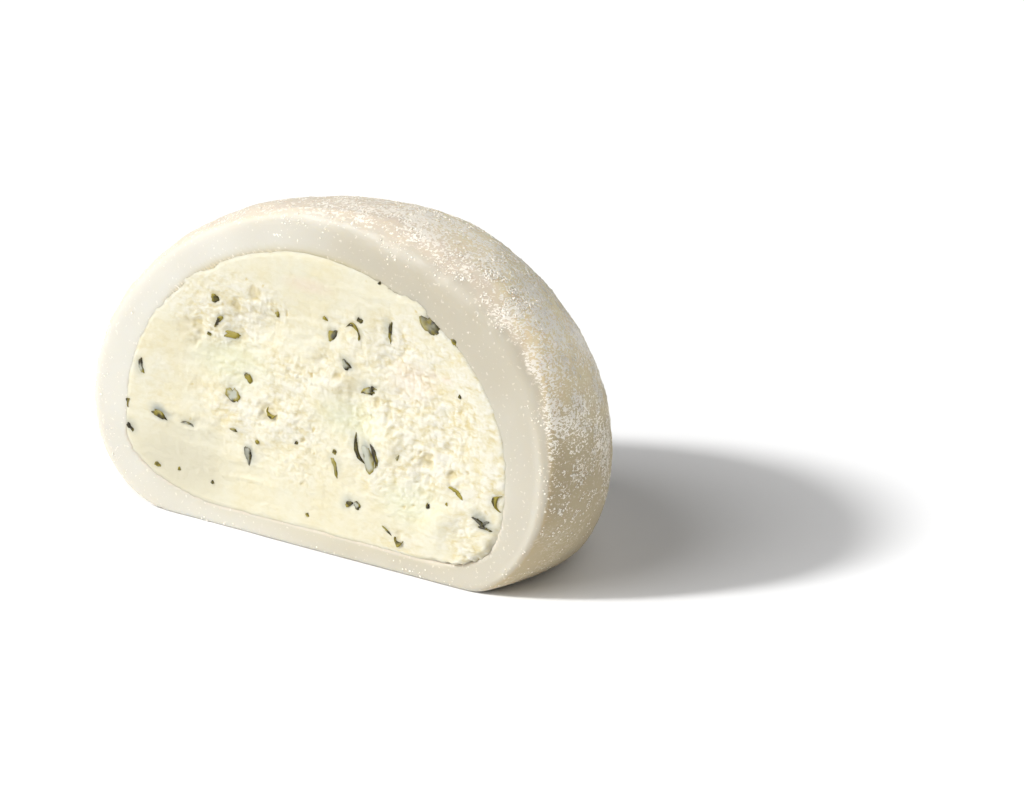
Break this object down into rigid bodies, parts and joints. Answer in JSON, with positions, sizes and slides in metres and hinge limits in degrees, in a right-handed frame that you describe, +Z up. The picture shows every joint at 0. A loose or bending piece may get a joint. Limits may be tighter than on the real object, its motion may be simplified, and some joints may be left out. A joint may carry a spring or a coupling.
{
  "type": "mochi rice cake half",
  "caption": "Half of a cut, starch-dusted mochi: thick soft rice dough wrapped round a crumbly herb cream filling, standing on its flat base with the cut showing.",
  "frame": {"origin": "on the floor, below the middle of the whole piece", "axes": "+X along the cut face's width, to the right of someone who looks at the cut; +Y away from the cut, into the food; +Z up"},
  "size_m": [0.0458, 0.0232, 0.0276],
  "materials": {
    "dough": "soft, slightly translucent rice dough, damp and satin where cut, dusted dull outside",
    "filling": "ivory cream, crumbly and matt, smooth where the knife dragged",
    "herb": "chopped dark green herb leaf",
    "starch": "fine white rice starch, dry and matt"
  },
  "bodies": {
    "root": {"dough": "dough", "filling": "filling"}
  },
  "joints": []
}
